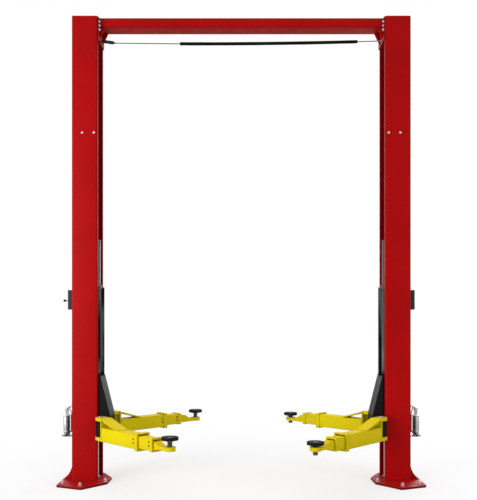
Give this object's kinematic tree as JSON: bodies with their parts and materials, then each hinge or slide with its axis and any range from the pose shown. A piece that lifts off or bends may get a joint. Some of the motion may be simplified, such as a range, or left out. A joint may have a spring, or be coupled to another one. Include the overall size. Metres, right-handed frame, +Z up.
{
  "type": "two post car lift",
  "caption": "Overhead-beam two post vehicle lift with a carriage in each channel column and swinging telescopic arms with screw pads.",
  "frame": {"origin": "on the floor, midway between the columns", "axes": "+Z up, +X toward the column on the right of the picture, -Y toward the camera"},
  "size_m": [3.3238, 1.9456, 4.267],
  "materials": {
    "red_paint": "semi-gloss powder coat",
    "black_paint": "satin powder coat",
    "yellow_paint": "gloss powder coat",
    "grey_paint": "satin paint",
    "bright_steel": "turned steel",
    "chrome": "polished chrome",
    "barrel_paint": "satin paint",
    "zinc": "zinc plated",
    "rubber": "moulded, matte",
    "nylon": "greased plastic",
    "foam": "foam sleeve"
  },
  "bodies": {
    "frame": {"base_plate_left": "red_paint", "base_plate_right": "red_paint", "column_left": "red_paint", "column_right": "red_paint", "crossbeam": "red_paint", "latch_box_left": "grey_paint", "latch_box_right": "grey_paint", "rack_left": "black_paint", "rack_right": "black_paint", "adapter_left_front": "zinc", "adapter_left_rear": "zinc", "adapter_right_front": "zinc", "adapter_right_rear": "zinc", "rod_left": "chrome", "rod_right": "chrome", "shutoff_switch": "grey_paint", "shutoff_cable": "bright_steel", "shutoff_sleeve": "foam"},
    "latch_lever": {"latch_lever": "black_paint"},
    "carriage_left": {"carriage_left": "black_paint", "cylinder_left": "barrel_paint", "slide_block_left_upper": "nylon", "slide_block_left_lower": "nylon", "pin_front_left": "bright_steel", "pin_rear_left": "bright_steel"},
    "carriage_right": {"carriage_right": "black_paint", "cylinder_right": "barrel_paint", "slide_block_right_upper": "nylon", "slide_block_right_lower": "nylon", "pin_front_right": "bright_steel", "pin_rear_right": "bright_steel"},
    "arm_front_left": {"arm_front_left_base": "yellow_paint"},
    "middle_front_left": {"arm_front_left_middle": "yellow_paint"},
    "tip_front_left": {"arm_front_left_tip": "yellow_paint"},
    "pad_front_left": {"pad_front_left": "rubber"},
    "arm_rear_left": {"arm_rear_left_base": "yellow_paint"},
    "middle_rear_left": {"arm_rear_left_middle": "yellow_paint"},
    "tip_rear_left": {"arm_rear_left_tip": "yellow_paint"},
    "pad_rear_left": {"pad_rear_left": "rubber"},
    "arm_front_right": {"arm_front_right_base": "yellow_paint"},
    "middle_front_right": {"arm_front_right_middle": "yellow_paint"},
    "tip_front_right": {"arm_front_right_tip": "yellow_paint"},
    "pad_front_right": {"pad_front_right": "rubber"},
    "arm_rear_right": {"arm_rear_right_base": "yellow_paint"},
    "middle_rear_right": {"arm_rear_right_middle": "yellow_paint"},
    "tip_rear_right": {"arm_rear_right_tip": "yellow_paint"},
    "pad_rear_right": {"pad_rear_right": "rubber"}
  },
  "joints": [
    {"name": "latch_release", "type": "hinge", "parent": "frame", "child": "latch_lever", "pos_m": [-1.583, 0, 1.664], "axis": [0, -1, 0], "range_deg": [0, 24], "stiffness_Nm_per_rad": 2, "springref_deg": -11.46},
    {"name": "left_lift", "type": "slide", "parent": "frame", "child": "carriage_left", "axis": [0, 0, 1], "range_m": [-0.29, 1.5]},
    {"name": "right_lift", "type": "slide", "parent": "frame", "child": "carriage_right", "axis": [0, 0, 1], "range_m": [-0.29, 1.5]},
    {"name": "front_left_swing", "type": "hinge", "parent": "carriage_left", "child": "arm_front_left", "pos_m": [-1.27, -0.2, 0.398], "axis": [0, 0, -1], "range_deg": [-38, 50]},
    {"name": "front_left_middle_slide", "type": "slide", "parent": "arm_front_left", "child": "middle_front_left", "axis": [0.7036, -0.7106, 0], "range_m": [-0.145, 0.08]},
    {"name": "front_left_tip_slide", "type": "slide", "parent": "middle_front_left", "child": "tip_front_left", "axis": [0.7036, -0.7106, 0], "range_m": [-0.084, 0.12]},
    {"name": "front_left_pad_screw", "type": "slide", "parent": "tip_front_left", "child": "pad_front_left", "axis": [0, 0, 1], "range_m": [-0.042, 0.006]},
    {"name": "rear_left_swing", "type": "hinge", "parent": "carriage_left", "child": "arm_rear_left", "pos_m": [-1.27, 0.2, 0.398], "axis": [0, 0, 1], "range_deg": [-38, 50]},
    {"name": "rear_left_middle_slide", "type": "slide", "parent": "arm_rear_left", "child": "middle_rear_left", "axis": [0.7432, 0.669, 0], "range_m": [-0.14, 0.08]},
    {"name": "rear_left_tip_slide", "type": "slide", "parent": "middle_rear_left", "child": "tip_rear_left", "axis": [0.7432, 0.669, 0], "range_m": [-0.15, 0.1]},
    {"name": "rear_left_pad_screw", "type": "slide", "parent": "tip_rear_left", "child": "pad_rear_left", "axis": [0, 0, 1], "range_m": [-0.04, 0.008]},
    {"name": "front_right_swing", "type": "hinge", "parent": "carriage_right", "child": "arm_front_right", "pos_m": [1.27, -0.2, 0.398], "axis": [0, 0, 1], "range_deg": [-38, 50]},
    {"name": "front_right_middle_slide", "type": "slide", "parent": "arm_front_right", "child": "middle_front_right", "axis": [-0.6921, -0.7218, 0], "range_m": [-0.085, 0.12]},
    {"name": "front_right_tip_slide", "type": "slide", "parent": "middle_front_right", "child": "tip_front_right", "axis": [-0.6921, -0.7218, 0], "range_m": [-0.128, 0.12]},
    {"name": "front_right_pad_screw", "type": "slide", "parent": "tip_front_right", "child": "pad_front_right", "axis": [0, 0, 1], "range_m": [-0.004, 0.04]},
    {"name": "rear_right_swing", "type": "hinge", "parent": "carriage_right", "child": "arm_rear_right", "pos_m": [1.27, 0.2, 0.398], "axis": [0, 0, -1], "range_deg": [-38, 50]},
    {"name": "rear_right_middle_slide", "type": "slide", "parent": "arm_rear_right", "child": "middle_rear_right", "axis": [-0.7273, 0.6863, 0], "range_m": [-0.14, 0.08]},
    {"name": "rear_right_tip_slide", "type": "slide", "parent": "middle_rear_right", "child": "tip_rear_right", "axis": [-0.7273, 0.6863, 0], "range_m": [-0.123, 0.12]},
    {"name": "rear_right_pad_screw", "type": "slide", "parent": "tip_rear_right", "child": "pad_rear_right", "axis": [0, 0, 1], "range_m": [-0.01, 0.036]}
  ],
  "couplings": [
    {"joint": "right_lift", "follows": "left_lift", "ratio": 1}
  ]
}
